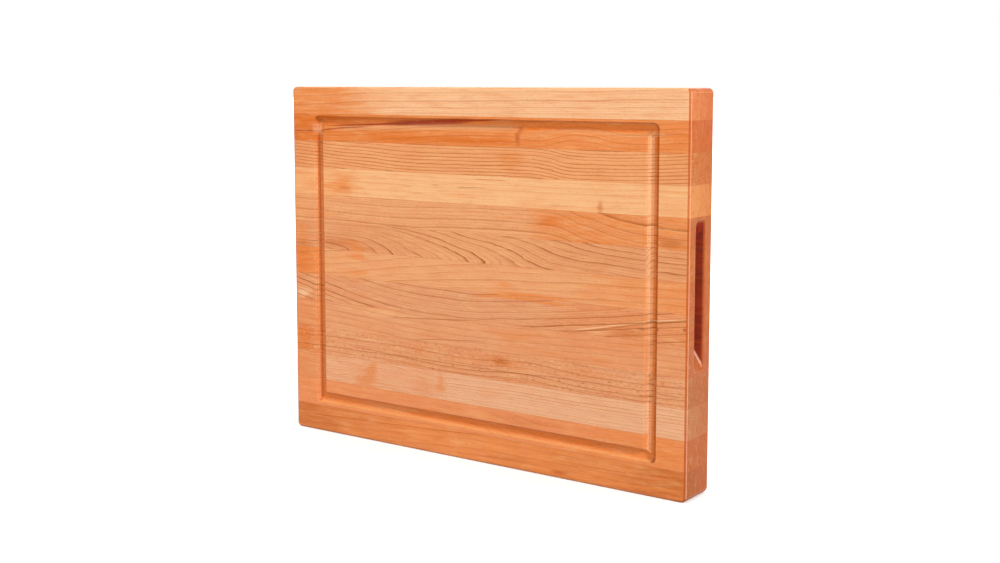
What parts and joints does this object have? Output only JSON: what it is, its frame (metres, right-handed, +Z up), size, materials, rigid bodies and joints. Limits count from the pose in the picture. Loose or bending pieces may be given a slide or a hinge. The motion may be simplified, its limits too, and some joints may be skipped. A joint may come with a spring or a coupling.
{
  "type": "cutting board",
  "caption": "Thick laminated edge-grain wooden cutting board with a juice groove on one face and a finger grip in each end.",
  "frame": {"origin": "on the resting plane, under the middle of the board as it stands on one long edge", "axes": "+X along the staves to the board's right as seen from the front, +Y through the thickness from the grooved front face to the plain back face, +Z up"},
  "size_m": [0.45, 0.042, 0.35],
  "materials": {
    "cherry": "oiled and rubbed to a soft gloss",
    "wood_glue": "cured film, darkened by oil"
  },
  "bodies": {
    "root": {"stave_01": "cherry", "stave_02_left": "cherry", "stave_02_right": "cherry", "stave_03": "cherry", "stave_04": "cherry", "stave_05": "cherry", "stave_06": "cherry", "stave_07": "cherry", "stave_08": "cherry", "stave_09": "cherry", "stave_10": "cherry", "stave_11_left": "cherry", "stave_11_right": "cherry", "stave_12": "cherry", "stave_13": "cherry", "glue_line_01_02": "wood_glue", "glue_line_02_03": "wood_glue", "glue_line_03_04": "wood_glue", "glue_line_04_05": "wood_glue", "glue_line_05_06": "wood_glue", "glue_line_06_07": "wood_glue", "glue_line_07_08": "wood_glue", "glue_line_08_09": "wood_glue", "glue_line_09_10": "wood_glue", "glue_line_10_11": "wood_glue", "glue_line_11_12": "wood_glue", "glue_line_12_13": "wood_glue", "butt_glue_02": "wood_glue", "butt_glue_11": "wood_glue"}
  },
  "joints": []
}
